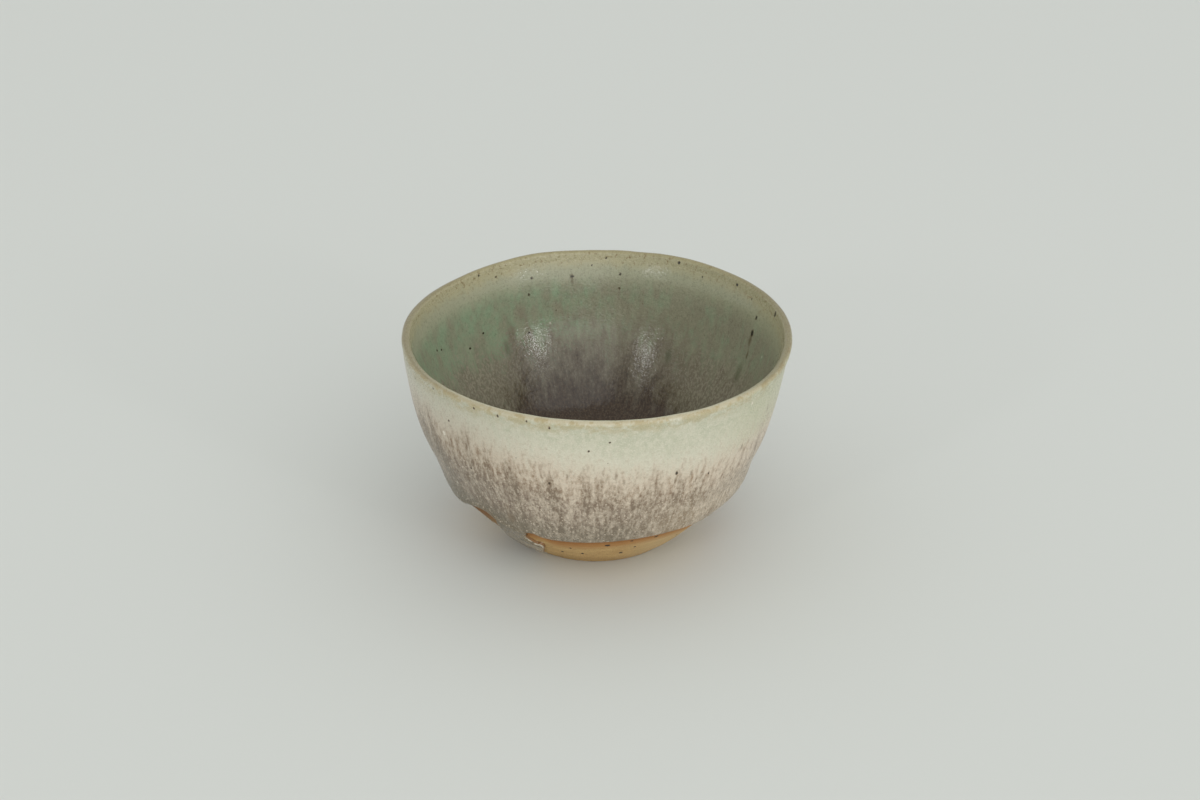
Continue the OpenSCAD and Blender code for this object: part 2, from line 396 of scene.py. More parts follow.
class Field:
    """Smooth random field over space, from -1 to 1."""

    def __init__(self, seed, size=48):
        self.size = size
        self.lattice = np.random.default_rng(seed).uniform(-1, 1, (size, size, size))

    def __call__(self, points, spacing, octaves=1):
        total, weight, full = 0.0, 1.0, 0.0
        for k in range(octaves):
            total = total + weight * self.layer(points * (2 ** k / spacing) + 7.3 * k)
            full += weight
            weight /= 2
        return total / full

    def layer(self, q):
        low = np.floor(q).astype(int)
        f = q - low
        f = f * f * (3 - 2 * f)
        total = 0.0
        for corner in range(8):
            step = [(corner >> k) & 1 for k in range(3)]
            index = [(low[..., k] + step[k]) % self.size for k in range(3)]
            share = [f[..., k] if step[k] else 1 - f[..., k] for k in range(3)]
            total = total + self.lattice[tuple(index)] * share[0] * share[1] * share[2]
        return total


BROAD, FINE, TURNED = Field(11), Field(23), Field(37)


# From the section to space, with the slight unevenness of a cup thrown by hand

def place(section, azimuth):
    """Points of the section, set out round the cup at their azimuths, in millimetres."""
    azimuth = (np.asarray(azimuth, float) + 180) % 360 - 180
    r, z = section[..., 0], section[..., 1]
    r = r + swells(WALL_SWELLS, azimuth, z)
    aside = LIP_ASIDE * smooth(*LIP_ASIDE_SPAN, z) - BELLY_ASIDE * swell(z, *BELLY_SPAN)
    turn = np.radians(azimuth)
    ring = np.stack(np.broadcast_arrays(MOUTH_R * np.sin(turn), MOUTH_R * np.cos(turn), 0.0), -1)
    lift = smooth(*LIP_LIFT_SPAN, z) * table_value(LIP_LIFT, azimuth)
    ripple = smooth(*LIP_RIPPLE_SPAN, z) * LIP_RIPPLE * BROAD(ring, LIP_RIPPLE_LEN, 2)
    return np.stack([r * np.sin(turn) + aside, -r * np.cos(turn), z + lift + ripple], -1)


def grid_normals(points):
    """Normals of a grid of points whose first index goes round the cup."""
    round_way = np.roll(points, -1, 0) - np.roll(points, 1, 0)
    along = np.gradient(points, axis=1)
    return unit(np.cross(along, round_way))


# Meshes

def added(name, data):
    """A new object in the scene, made of some data."""
    thing = bpy.data.objects.new(name, data)
    SCENE.collection.objects.link(thing)
    return thing


def mesh_piece(name, points, faces, normals, layers, material):
    """A closed mesh from points in millimetres, with its own normals and named layers of values."""
    mesh = bpy.data.meshes.new(name)
    corners = np.concatenate([f.reshape(-1) for f in faces])
    sizes = np.concatenate([np.full(len(f), f.shape[1]) for f in faces])
    mesh.vertices.add(len(points))
    mesh.vertices.foreach_set("co", (points * MM).astype(np.float32).ravel())
    mesh.loops.add(len(corners))
    mesh.loops.foreach_set("vertex_index", corners.astype(np.int32))
    mesh.polygons.add(len(sizes))
    starts = np.concatenate([[0], np.cumsum(sizes)[:-1]])
    mesh.polygons.foreach_set("loop_start", starts.astype(np.int32))
    mesh.polygons.foreach_set("loop_total", sizes.astype(np.int32))
    mesh.update(calc_edges=True)
    mesh.polygons.foreach_set("use_smooth", np.ones(len(sizes), bool))
    for layer, values in layers.items():
        attribute = mesh.attributes.new(layer, "FLOAT", "POINT")
        attribute.data.foreach_set("value", values.astype(np.float32))
    mesh.normals_split_custom_set_from_vertices(normals)
    mesh.materials.append(material)
    return added(name, mesh)


def ring_piece(name, rings, normals, layers, material, joined):
    """A closed solid from rings of points. The last ring meets the first if joined,
    and otherwise the first and last rings are each closed by a fan."""
    rows, columns = rings.shape[:2]
    index = np.arange(rows * columns).reshape(rows, columns)
    beside = np.roll(index, -1, 1)
    lower = np.arange(rows if joined else rows - 1)
    upper = (lower + 1) % rows
    quads = np.stack([index[lower], beside[lower], beside[upper], index[upper]], -1).reshape(-1, 4)
    faces = [quads]
    points = rings.reshape(-1, 3)
    normals_flat = normals.reshape(-1, 3)
    values = {k: v.reshape(-1) for k, v in layers.items()}
    if not joined:
        ends = [0, -1]
        points = np.concatenate([points, rings[ends].mean(1)])
        normals_flat = np.concatenate([normals_flat, normals[ends].mean(1)])
        values = {k: np.append(v, layers[k][ends].mean(1)) for k, v in values.items()}
        first, last = rows * columns, rows * columns + 1
        start = np.stack([beside[0], index[0], np.full(columns, first)], -1)
        end = np.stack([index[-1], beside[-1], np.full(columns, last)], -1)
        faces.append(np.concatenate([start, end]))
    p = points[quads]
    volume = np.einsum("ij,ij->i", p[:, 0], np.cross(p[:, 1], p[:, 2]) + np.cross(p[:, 2], p[:, 3])).sum()
    if volume < 0:
        faces = [f[:, ::-1] for f in faces]
    return mesh_piece(name, points, faces, unit(normals_flat), values, material)


# The glaze skin: one grid from the middle of the bowl's floor, up the inside, over the lip and
# down the outside to the glaze line

AZIMUTH = np.arange(GLAZE_COLUMNS) * 360 / GLAZE_COLUMNS - 180
# Depth by which the hidden face of a coat is sunk in the clay, and the glazed rows to one of its rows
GLAZE_BITE = 0.02
BACK_STEP = 6


def inside_rows():
    """Clay points, outward directions and glaze thickness from the floor's middle up to the lip."""
    u = np.linspace(FLOOR_HOLE_SHARE, 0, FLOOR_ROWS)
    s = np.linspace(0, RIM_SHARE, WALL_ROWS)[1:]
    lip_s = np.linspace(RIM_SHARE, 1, THIN_ROWS)[1:]
    turn = np.radians(np.linspace(180, 0, ARC_ROWS)[1:-1] - LIP_LEAN)
    arc_out = np.stack([np.cos(turn), np.sin(turn)], -1)
    arc = LIP_END - wall_out(1.0) * LIP_T / 2 + arc_out * LIP_T / 2
    points = np.concatenate([bezier(BOWL, u), inner_point(s), inner_point(lip_s), arc])
    outs = np.concatenate([right_of(bezier_way(BOWL, u)), -wall_out(s), -wall_out(lip_s), arc_out])
    bowl_t = INNER_GLAZE_T + POOL_T * u * u
    lip_t = np.full(len(lip_s) + len(arc), RIM_GLAZE_T)
    thickness = np.concatenate([bowl_t, wall_coat_t(s, INNER_GLAZE_T), lip_t])
    return points, outs, thickness, len(u) + len(s) - 1


def bead_thickness(above):
    """Thickness of the rolled edge by the distance above the glaze line."""
    crest = np.sqrt(np.clip(1 - (1 - np.clip(above / (BEAD_T * BEAD_ROUND_SHARE), 0, 1)) ** 2, 0, 1))
    rolled = smooth(BEAD_W, BEAD_FULL_SHARE * BEAD_W, above)
    return crest * (OUTER_GLAZE_T + (BEAD_T - OUTER_GLAZE_T) * rolled)


def outside_places(line_at):
    """Length from the lip of each row of the outside, for every column."""
    thin_end = PATH.at[np.searchsorted(-PATH.wall_share, -RIM_SHARE)]
    thin = np.linspace(0, thin_end, THIN_ROWS)
    even_end = PATH.hip_at - EVEN_ABOVE_HIP
    even = np.linspace(thin_end, even_end, EVEN_ROWS)[1:]
    f = np.linspace(0, 1, LOW_ROWS)[1:]
    root = line_at - BEAD_W
    low = even_end + f[None, :] * (root[:, None] - even_end)
    bead = line_at[:, None] - BEAD_W * np.cos(np.linspace(0, 1, BEAD_ROWS)[1:] * math.pi / 2)
    fixed = np.broadcast_to(np.concatenate([thin, even]), (len(line_at), len(thin) + len(even)))
    return np.concatenate([fixed, low, bead], 1), len(thin) - 1


def glaze_skin():
    """Grid of the whole glazed surface, its hidden face, and the layers that the colours follow."""
    inside, inside_out, inside_t, lip_in = inside_rows()
    line_at = PATH.at_share(table_value(LINE_SHARES, AZIMUTH))
    at, thin_rows = outside_places(line_at)
    lip_out = len(inside) + thin_rows
    across = (GLAZE_COLUMNS,) + inside.shape
    clay = np.concatenate([np.broadcast_to(inside, across), PATH.point(at)], 1)
    out = np.concatenate([np.broadcast_to(inside_out, across), PATH.out(at)], 1)
    above = line_at[:, None] - at
    outside_t = np.where(above < BEAD_W, bead_thickness(above), PATH.coat_t(at))
    thickness = np.concatenate([np.broadcast_to(inside_t, across[:2]), outside_t], 1)
    outside = np.arange(clay.shape[1]) >= len(inside)
    thickness = thickness + uneven_thickness(clay, thickness, outside)
    skin = place(clay + out * thickness[..., None], AZIMUTH[:, None])
    back = place(clay - out * GLAZE_BITE, AZIMUTH[:, None])
    crest = np.argmax(inside[:, 1])
    from_lip = -np.abs(lengths(inside) - lengths(inside)[crest])
    from_lip[crest:] *= -1
    from_lip = np.concatenate([np.broadcast_to(from_lip, across[:2]), from_lip[-1] + 0.1 + at], 1)
    above_line = np.concatenate([np.full(across[:2], FAR), above], 1)
    layers = {"from_lip": from_lip, "above_line": above_line}
    return {"skin": skin, "normals": grid_normals(skin), "back": back, "layers": layers,
            "lip_in": lip_in, "lip_out": lip_out, "end": clay.shape[1] - 1}


def uneven_thickness(clay, thickness, outside):
    """What the fired glaze adds: a roll over the hip at both sides, a shoulder inside the lip,
    and gentle waves all over."""
    azimuth = AZIMUTH[:, None]
    height = clay[..., 1]
    roll = swells(HIP_ROLLS, azimuth, height)
    shoulder = SHOULDER_T * smooth(*SHOULDER_SIDE_COSINES, np.cos(np.radians(azimuth)))
    shoulder = shoulder * smooth(*SHOULDER_TOP_SPAN, height) * smooth(*SHOULDER_LOW_SPAN, height)
    space = place(clay, azimuth) * np.array([1, 1, WAVE_SQUEEZE_SHARE])
    waves = WAVE_T * BROAD(space, WAVE_LEN, 2) + RIPPLE_T * FINE(space, RIPPLE_LEN, 2)
    body = smooth(0.05, OUTER_GLAZE_T, thickness)
    return np.where(outside, roll, 0) * body + np.where(outside, 0, shoulder) + waves * body


def coat_piece(name, skin, first, last, material, has_middle):
    """One coat cut from the skin between two rows: its glazed face, and its hidden face on the clay."""
    front = np.arange(first, last + 1)
    back = np.unique(np.append(np.arange(first, last, BACK_STEP), last))[::-1]
    rings = np.concatenate([skin["skin"][:, front], skin["back"][:, back]], 1).transpose(1, 0, 2)
    hidden = -grid_normals(skin["back"][:, back[::-1]])[:, ::-1]
    normals = np.concatenate([skin["normals"][:, front], hidden], 1).transpose(1, 0, 2)
    rows = np.concatenate([front, back])
    layers = {k: v[:, rows].T for k, v in skin["layers"].items()}
    return ring_piece(name, rings, normals, layers, material, not has_middle)


# Clay

def quarter(centre, radius, start, steps):
    """Points round a quarter circle, past its first one."""
    turn = np.radians(np.linspace(start, start - 90, steps)[1:])
    return np.array(centre) + radius * np.stack([np.cos(turn), np.sin(turn)], -1)


def foot_section():
    """Foot ring and the hollow inside it, from the underside in to the middle."""
    well_r = FOOT_R - FOOT_FACE_W
    rise = np.linspace(1, 0.3, 6)[1:, None]
    side = np.array([FOOT_R, 0]) + np.array([FOOT_FLARE, FOOT_H]) * rise
    turn = np.radians(np.linspace(0, 90, 6)[1:])[:, None]
    start = side[-1]
    drop = np.array([FOOT_R - FOOT_BEVEL, 0]) - start
    bevel = start + drop * np.hstack([1 - np.cos(turn), np.sin(turn)])
    face = np.stack([np.linspace(FOOT_R - FOOT_BEVEL, well_r + FOOT_BEVEL, 12)[1:], np.zeros(11)], -1)
    edge = quarter((well_r + FOOT_BEVEL, FOOT_BEVEL), FOOT_BEVEL, 270, 6)
    upright = np.array([[well_r, h] for h in np.linspace(FOOT_BEVEL, WELL_DEPTH - WELL_FILLET, 4)[1:]])
    turn = np.radians(np.linspace(0, 90, 10)[1:])
    fillet_middle = np.array([well_r - WELL_FILLET, WELL_DEPTH - WELL_FILLET])
    fillet = fillet_middle + WELL_FILLET * np.stack([np.cos(turn), np.sin(turn)], -1)
    f = np.linspace(1, 0.02, 32)[1:]
    well = np.stack([(well_r - WELL_FILLET) * f, WELL_DEPTH + WELL_SWELL * (1 - f * f)], -1)
    return np.concatenate([side, bevel, face, edge, upright, fillet, well])


def clay_section():
    """Section of the clay, coarse under the glaze and fine where it may show, with its lengths down
    from the lip and the number of its covered points."""
    inside, _, _, lip_in = inside_rows()
    covered = np.concatenate([inside[:lip_in:6], inside[lip_in::3]])
    bare_from = PATH.hip_at - 1.5
    glazed = np.linspace(0, bare_from, 15)
    bare = np.linspace(bare_from, PATH.at[-1], 76)[1:]
    foot = foot_section()
    points = np.concatenate([covered, PATH.point(np.concatenate([glazed, bare])), foot])
    at = np.concatenate([np.zeros(len(covered)), glazed, bare, np.full(len(foot), PATH.at[-1])])
    return points, at, len(covered) + len(glazed)


def clay_piece(material):
    section, at, covered = clay_section()
    azimuth = np.arange(CLAY_COLUMNS) * 360 / CLAY_COLUMNS - 180
    space = place(np.broadcast_to(section, (CLAY_COLUMNS,) + section.shape), azimuth[:, None])
    normals = grid_normals(space)
    along = lengths(section)
    turn = np.radians(azimuth)[:, None]
    across = (TURNING_DRIFT * np.sin(turn), TURNING_DRIFT * np.cos(turn))
    drift = np.stack(np.broadcast_arrays(*across, along[None, :] / TURNING_PITCH), -1)
    lines = TURNING_LINE * TURNED(drift, 1.0, 2)
    lines = lines + TURNING_BAND * TURNED(drift * np.array([1, 1, TURNING_BAND_SHARE]), 1.0)
    grain = CLAY_GRAIN * FINE(space, CLAY_GRAIN_LEN, 2)
    shown = (np.arange(len(section)) >= covered) * smooth(*FOOT_SMOOTH_SPAN, section[:, 1])
    space = space + normals * ((lines + grain) * shown)[..., None]
    line_at = PATH.at_share(table_value(LINE_SHARES, azimuth))
    layers = {
        "below_line": (at[None, :] - line_at[:, None]).T,
        "along": np.broadcast_to(along, space.shape[:2]).T,
    }
    rings = space.transpose(1, 0, 2)
    normals = grid_normals(space).transpose(1, 0, 2)
    return ring_piece("thrown_clay", rings, normals, layers, material, False)


# Run of thick glaze

def run_piece(material):
    """The run, as rings that shrink from its outline to its middle, over the clay and the coat's edge."""
    outline = closed_curve(RUN_SHARES, RUN_COLUMNS)
    middle = np.array(RUN_MIDDLE, float)
    f = 1 - np.linspace(0, 1, RUN_ROWS, endpoint=False) ** 1.5
    spot = middle + (outline - middle)[None] * f[:, None, None]
    azimuth, share = spot[..., 0], spot[..., 1]
    at = PATH.at_share(share)
    clay, out = PATH.point(at), PATH.out(at)
    flat = np.stack([np.radians(azimuth) * clay[..., 0], at], -1)
    inward = np.linalg.norm(flat[:, :, None] - flat[0], axis=-1).min(-1)
    above = PATH.at_share(table_value(LINE_SHARES, azimuth.ravel())).reshape(at.shape) - at
    height = run_height(azimuth, share, inward, above, flat)
    coat = np.where(above > BEAD_W, OUTER_GLAZE_T, bead_thickness(above)) * (above > 0)
    f = np.clip(0.5 + (height - coat) / (2 * RUN_BLEND_T), 0, 1)
    top = coat + (height - coat) * f + RUN_BLEND_T * f * (1 - f) + RUN_PROUD
    top[0] = coat[0]
    front = place(clay + out * top[..., None], azimuth)
    rear = place(clay + out * (coat - GLAZE_BITE)[..., None], azimuth)
    rings = np.concatenate([front[::-1], rear[::3]])
    normals = np.concatenate([ring_normals(front)[::-1], -ring_normals(rear)[::3]])
    inward = np.concatenate([inward[::-1], inward[::3]])
    layers = {"inward": inward, "above_line": np.full_like(inward, FAR)}
    return ring_piece("run_glaze", rings, normals, layers, material, False)


def run_height(azimuth, share, inward, above, flat):
    """Thickness of the run: rolled up along its right side, thin at its tip, faded out at its top."""
    rolled = smooth(*RUN_ROLL_TURN, azimuth) * swell(inward, *RUN_ROLL_IN)
    thin_tip = smooth(*RUN_TIP_TURN, azimuth) * smooth(*RUN_TIP_SPAN_SHARES, share)
    full = RUN_T * (1 + RUN_ROLL_SHARE * rolled - RUN_TIP_SHARE * thin_tip)
    space = np.stack([flat[..., 0], flat[..., 1] / 2, np.zeros_like(share)], -1)
    full = full + RUN_WAVE_T * BROAD(space, RUN_WAVE_LEN, 2)
    edge = np.clip(inward / RUN_EDGE_W, 0, 1)
    return full * np.sqrt(1 - (1 - edge) ** 2) * smooth(*RUN_FADE_SPAN, above)


def ring_normals(rings):
    """Outward normals of rings laid on the underside of the cup."""
    normals = grid_normals(rings.transpose(1, 0, 2)).transpose(1, 0, 2)
    away = rings - np.array([0, 0, CUP_H / 2])
    return normals * np.sign(np.einsum("ijk,ijk->ij", normals, away))[..., None]


# Material graphs

class Graph:
    """One material's nodes. Each call adds a node and gives its output."""

    def __init__(self, name):
        self.material = bpy.data.materials.new(name)
        self.material.use_nodes = True
        self.tree = self.material.node_tree
        self.shader = self.tree.nodes["Principled BSDF"]
        places = self.add("ShaderNodeTexCoord").outputs["Object"]
        self.place = self.vector("MULTIPLY", places, (1 / MM, 1 / MM, 1 / MM))
        self.z = self.parts(self.place)[2]
        flat = self.vector("MULTIPLY", self.place, (1, 1, 0))
        self.radius = self.length(flat)
        self.way = self.vector("NORMALIZE", flat)
        self.right, back, _ = self.parts(self.way)
        self.front = self.times(back, -1.0)

    def add(self, kind, *values):
        node = self.tree.nodes.new(kind)
        for socket, value in zip(node.inputs, values):
            self.put(socket, value)
        return node

    def named(self, kind, **values):
        """A node whose inputs are set by name, with _ for each space."""
        node = self.tree.nodes.new(kind)
        for name, value in values.items():
            self.put(node.inputs[name.replace("_", " ")], value)
        return node

    def put(self, socket, value):
        if isinstance(value, bpy.types.NodeSocket):
            self.tree.links.new(value, socket)
        else:
            socket.default_value = value

    def math(self, operation, *values):
        node = self.add("ShaderNodeMath", *values)
        node.operation = operation
        return node.outputs[0]

    def vector(self, operation, *values):
        node = self.add("ShaderNodeVectorMath", *values)
        node.operation = operation
        return node.outputs[0]

    def length(self, vector):
        node = self.add("ShaderNodeVectorMath", vector)
        node.operation = "LENGTH"
        return node.outputs["Value"]

    def parts(self, vector):
        return self.add("ShaderNodeSeparateXYZ", vector).outputs

    def chain(self, operation, values):
        total = values[0]
        for value in values[1:]:
            total = self.math(operation, total, value)
        return total

    def sum(self, *values):
        return self.chain("ADD", values)

    def minus(self, a, b):
        return self.math("SUBTRACT", a, b)

    def times(self, *values):
        return self.chain("MULTIPLY", values)

    def spread(self, value, gain):
        """A noise value taken from its middle and multiplied."""
        return self.math("MULTIPLY_ADD", value, gain, -gain / 2)

    def ramp(self, value, low, high, start=0.0, end=1.0, kind="SMOOTHSTEP"):
        node = self.named("ShaderNodeMapRange", Value=value, From_Min=low, From_Max=high,
                          To_Min=start, To_Max=end)
        node.interpolation_type = kind
        return node.outputs["Result"]

    def noise(self, vector, scale, detail=3.0, roughness=0.6):
        node = self.named("ShaderNodeTexNoise", Vector=vector, Scale=scale, Detail=detail,
                          Roughness=roughness)
        return node.outputs["Fac"]

    def cells(self, vector, scale):
        node = self.named("ShaderNodeTexVoronoi", Vector=vector, Scale=scale)
        return node.outputs["Distance"], self.parts(node.outputs["Color"])

    def mix(self, share, a, b):
        node = self.add("ShaderNodeMix")
        node.data_type = "RGBA"
        node.clamp_factor = True
        for index, v in zip((0, 6, 7), (share, a, b)):
            self.put(node.inputs[index], v)
        return node.outputs[2]

    def between(self, share, low, high):
        """A colour between two that are written in the screen's values."""
        return self.mix(share, srgb(*low), srgb(*high))

    def tint(self, colour, rgb, *shares):
        """A colour mixed towards one in the screen's values, by the product of some shares."""
        return self.mix(self.times(*shares), colour, srgb(*rgb))

    def blend(self, share, a, b):
        return self.sum(a, self.times(share, self.minus(b, a)))

    def layer(self, name):
        node = self.add("ShaderNodeAttribute")
        node.attribute_name = name
        return node.outputs["Fac"]

    def flow(self, along_z, reach=OUTSIDE_FLOW_R):
        """Places squeezed along the way that the glaze ran, which is down the walls."""
        ring = self.vector("MULTIPLY", self.way, self.math("MINIMUM", self.radius, reach))
        lift = self.add("ShaderNodeCombineXYZ", 0.0, 0.0, self.times(self.z, along_z)).outputs[0]
        return self.vector("ADD", ring, lift)

    def bumped(self, height, distance):
        node = self.named("ShaderNodeBump", Strength=1.0, Distance=distance * MM, Height=height)
        return node.outputs["Normal"]

    def finish(self, colour, rough, normal):
        for name, value in (("Base Color", colour), ("Roughness", rough), ("Normal", normal)):
            self.put(self.shader.inputs[name], value)
        return self.material

    def ragged_place(self, reach, scale):
        """Places moved a little this way and that, which makes round marks ragged."""
        node = self.named("ShaderNodeTexNoise", Vector=self.place, Scale=scale)
        wander = self.vector("SUBTRACT", node.outputs["Color"], (0.5, 0.5, 0.5))
        return self.vector("MULTIPLY_ADD", wander, (2 * reach, 2 * reach, 2 * reach), self.place)

    def spots(self, spots, surface):
        """How near a place is to the listed spots: 1 at a middle, 0 at an edge and beyond."""
        ragged = self.ragged_place(0.25, 3.0)
        if surface == "underside":
            ring = self.vector("MULTIPLY", self.way, (UNDERSIDE_R, UNDERSIDE_R, 0.0))
            ragged = self.vector("ADD", ring, self.vector("MULTIPLY", ragged, (0.0, 0.0, 1.0)))
        nearest = 0.0
        for azimuth, height, radius, long in spots:
            squeeze = (1.0, 1.0, 1.0 / long)
            middle = spot_place(azimuth, height, surface) * np.array(squeeze)
            away = self.length(self.vector("MULTIPLY_ADD", ragged, squeeze, tuple(-middle)))
            nearest = self.math("MAXIMUM", nearest, self.math("MULTIPLY_ADD", away, -1.0 / radius, 1.0))
        return nearest


def spot_place(azimuth, height, surface):
    """Place in space of a spot given by its azimuth and height on one face of the cup."""
    if surface == "underside":
        turn = math.radians(azimuth)
        return np.array([UNDERSIDE_R * math.sin(turn), -UNDERSIDE_R * math.cos(turn), height])
    s = np.linspace(1, 0, 400)
    if surface == "outside":
        line = bezier(WALL, s) + wall_out(s) * wall_coat_t(s, OUTER_GLAZE_T)[:, None]
    else:
        line = inner_point(s) - wall_out(s) * wall_coat_t(s, INNER_GLAZE_T)[:, None]
    radius = np.interp(-height, -line[:, 1], line[:, 0])
    return place(np.array([radius, height]), azimuth)


def srgb(red, green, blue):
    """A colour written in the screen's 0 to 255, as the shader's linear values."""
    shares = [c / 255 for c in (red, green, blue)]
    return tuple(c / 12.92 if c <= 0.04045 else ((c + 0.055) / 1.055) ** 2.4 for c in shares) + (1.0,)


# Iron specks and other marks: degrees from the front, height, radius, and length as a share of the width
OUTSIDE_SPECKS = [
    (-36.8, 41.9, 0.3, 1.2), (-28.8, 41.8, 0.32, 1.4), (-13.2, 41.3, 0.3, 1.3),
    (-54, 41.9, 0.28, 1), (-19.8, 42, 0.26, 1), (-48, 36.3, 0.3, 1.2), (4.2, 38.5, 0.26, 1),
    (-1.8, 36.5, 0.28, 1), (-13.6, 28.4, 0.34, 1.4), (25.6, 29.4, 0.36, 1.8), (38, 26.8, 0.34, 1.2),
    (-41.6, 27, 0.26, 1), (-66, 40.5, 0.28, 1), (100, 33, 0.34, 1.4), (128, 38, 0.3, 1),
    (151, 27, 0.4, 1.8), (-100, 30, 0.36, 1.5), (-131, 36, 0.3, 1), (-160, 24, 0.36, 1.2),
    (172, 34, 0.28, 1.2),
]
OUTSIDE_TAILS = [
    (25.6, 27.6, 0.45, 5.5), (6.5, 30.6, 0.45, 3.5), (31, 28.4, 0.5, 3), (64, 35, 0.5, 2.5),
    (51.6, 29.6, 0.45, 3), (9, 29, 0.4, 4), (-8, 30.4, 0.4, 3), (-45, 24, 0.75, 7),
    (-31, 19.5, 0.8, 6), (-30.8, 16.6, 1.4, 2.2), (-58, 31.5, 0.6, 4), (151, 24.5, 0.5, 5),
    (-100, 27, 0.5, 5),
]
OUTSIDE_PALE = [(-51.6, 32.6, 0.62, 1.25), (51.6, 39.9, 0.42, 1), (-55, 19.6, 0.45, 1)]
INSIDE_SPECKS = [
    (188, 38, 0.6, 1.2), (171.7, 38.5, 0.5, 1), (171.7, 35.7, 0.47, 1), (202, 38.5, 0.5, 1),
    (203.5, 35.4, 0.48, 1), (114, 38.4, 0.52, 1.2), (113.5, 35.3, 0.7, 1.4), (104, 41.9, 0.5, 1.6),
    (152.5, 42.1, 0.4, 1.2), (221.5, 42.1, 0.34, 1), (128.6, 41.8, 0.4, 1), (231.5, 29, 0.34, 1),
    (223.8, 30.6, 0.34, 1), (250, 32.8, 0.36, 1), (247, 32.2, 0.3, 1), (230, 37.5, 0.3, 1),
    (238, 36.6, 0.28, 1), (145, 37, 0.3, 1), (153.8, 38, 0.36, 1), (205, 28, 0.36, 1),
    (215, 40.6, 0.3, 1), (177, 41.6, 0.28, 1), (181.5, 40.2, 0.28, 1), (143, 40.6, 0.28, 1),
    (120, 40.8, 0.28, 1), (163, 33, 0.24, 1), (194, 31.5, 0.24, 1), (40, 33, 0.36, 1.2),
    (-8, 37, 0.34, 1), (-35, 30, 0.32, 1), (68, 26, 0.32, 1),
]
# Colours of the brown ring and of the dark core of the specks in the glaze
SPECK_COLOURS = {"outside": ((120, 92, 62), (62, 54, 42)), "inside": ((84, 66, 42), (46, 45, 36))}
# Brown tails and dark streaks drawn down from specks, and pale spots, in the same four measures
INSIDE_TAILS = [
    (188, 36.6, 0.5, 4), (113.5, 33.6, 0.7, 3.6), (112.5, 31, 0.5, 5), (-8, 35.4, 0.4, 3.5),
]
INSIDE_STREAKS = [(113.8, 27, 1.5, 5), (150, 24, 1.2, 4), (215, 26, 1.2, 4), (30, 26, 1.3, 5)]
INSIDE_PALE = [(174.8, 35.5, 0.26, 1), (196.5, 29.2, 0.28, 1.2), (102, 33.5, 0.3, 1)]
CLAY_SPECKS = [
    (5.2, 9.3, 0.52, 1), (13.2, 5.2, 0.42, 1.1), (26.8, 10.2, 0.42, 1), (-6.8, 5.3, 0.34, 1.1),
    (-17.5, 5.2, 0.32, 1.1), (15.5, 10.4, 0.3, 1), (44, 6.5, 0.34, 1), (84, 4.2, 0.36, 0.8),
    (120, 7.5, 0.36, 0.8), (170, 5, 0.34, 0.8), (-150, 3.6, 0.36, 0.8), (-110, 6, 0.34, 0.8),
    (-12, 7.5, 0.26, 1.1), (19, 7.2, 0.26, 1.1),
]


